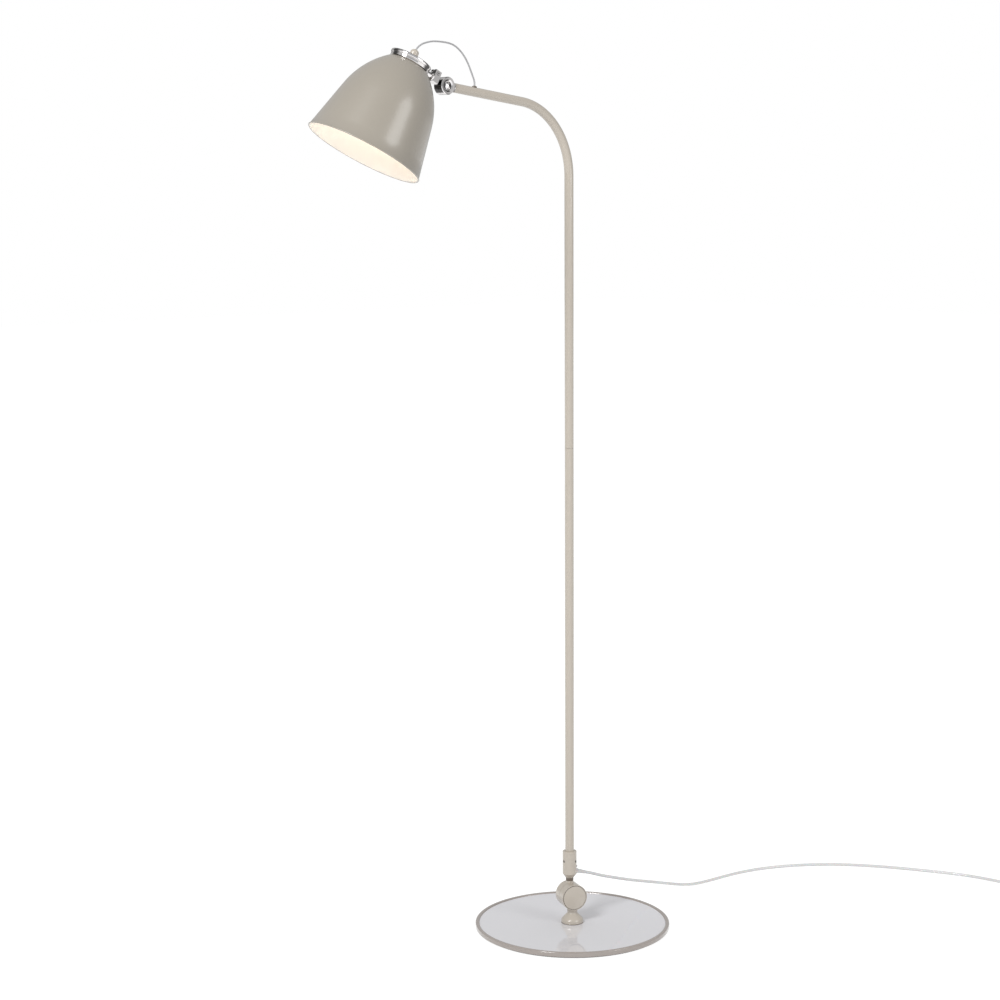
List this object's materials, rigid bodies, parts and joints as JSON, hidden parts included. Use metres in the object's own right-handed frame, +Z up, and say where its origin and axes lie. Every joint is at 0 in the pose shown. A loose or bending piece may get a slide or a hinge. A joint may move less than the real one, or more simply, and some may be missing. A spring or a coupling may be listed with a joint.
{
  "type": "gooseneck reading floor lamp",
  "caption": "Floor lamp with a round weighted foot, a bent tubular pole with tilting and swivelling joints, and a bell shade on a head joint.",
  "frame": {"origin": "centre of the foot's underside, on the floor", "axes": "+Z up the pole; the arm points to -X; -Y is the front side of the head joint"},
  "size_m": [1.1524, 0.5911, 1.2941],
  "materials": {
    "beige_paint": "smooth semi-gloss sand-beige paint",
    "plate_paint": "very glossy pale lacquer",
    "shade_paint": "spun aluminium, semi-gloss beige outside and white inside",
    "chrome_plate": "polished chrome",
    "dark_plastic": "dark bearing plastic",
    "pad_rubber": "black rubber",
    "zinc_steel": "zinc-plated steel",
    "clear_cord": "translucent light grey cord sheath",
    "white_plastic": "white moulded plastic",
    "brass_contact": "plated brass",
    "opal_glass": "frosted lamp glass"
  },
  "bodies": {
    "base": {"floor_pad": "pad_rubber", "base_plate": "plate_paint", "foot_screw": "zinc_steel", "foot_gasket": "dark_plastic", "foot_cone": "beige_paint", "front_knuckle": "beige_paint", "friction_disc": "dark_plastic", "knuckle_washer": "zinc_steel", "disc_springs": "zinc_steel", "front_cap": "beige_paint", "mains_cord_floor": "clear_cord", "cord_coil": "clear_cord", "mains_cord_tail": "clear_cord", "plug_body": "white_plastic", "plug_pins": "brass_contact", "cord_tie": "white_plastic"},
    "neck": {"rear_knuckle": "beige_paint", "knuckle_bolt": "zinc_steel", "knuckle_nut": "zinc_steel", "rear_cap": "beige_paint", "swivel_bush": "dark_plastic", "swivel_screw": "zinc_steel", "swivel_washer": "zinc_steel", "mains_cord_drop": "clear_cord"},
    "pole": {"pole_sleeve": "beige_paint", "grub_screws": "zinc_steel", "cord_bush": "clear_cord", "cord_clamp_screw": "zinc_steel", "lower_pole": "beige_paint", "pole_joiner": "zinc_steel", "upper_pole": "beige_paint", "arm_grommet": "clear_cord", "arm_spigot": "chrome_plate", "inner_lead": "clear_cord", "mains_cord_neck": "clear_cord", "loop_cord_arm": "clear_cord"},
    "head": {"head_clamp": "chrome_plate", "head_screw": "chrome_plate", "head_washer": "zinc_steel", "head_spring": "zinc_steel", "clamp_screw": "chrome_plate"},
    "shade": {"shade_stud": "chrome_plate", "shade_carrier": "chrome_plate", "top_cover": "chrome_plate", "cable_cap": "beige_paint", "holder_nipple": "zinc_steel", "holder_nut": "zinc_steel", "shade_shell": "shade_paint", "lampholder": "white_plastic", "holder_insert": "white_plastic", "bulb_cap": "brass_contact", "bulb_glass": "opal_glass", "loop_cord_shade": "clear_cord"}
  },
  "joints": [
    {"name": "base_tilt", "type": "hinge", "parent": "base", "child": "neck", "pos_m": [0, 0, 0.047], "axis": [-0.3746, -0.9272, 0], "range_deg": [-20, 20], "deforming": ["mains_cord_drop"]},
    {"name": "pole_swivel", "type": "hinge", "parent": "neck", "child": "pole", "pos_m": [0.00393, 0.00974, 0.0731], "axis": [0, 0, 1], "range_deg": [-90, 90], "deforming": ["mains_cord_neck"]},
    {"name": "head_tilt", "type": "hinge", "parent": "pole", "child": "head", "pos_m": [-0.23052, 0.00974, 1.2338], "axis": [0, 1, 0], "range_deg": [-55, 60], "deforming": ["loop_cord_arm"]},
    {"name": "shade_swivel", "type": "hinge", "parent": "head", "child": "shade", "pos_m": [-0.23052, 0.00974, 1.2338], "axis": [-0.887, 0, 0.4617], "range_deg": [-50, 70], "deforming": ["loop_cord_shade"]}
  ]
}
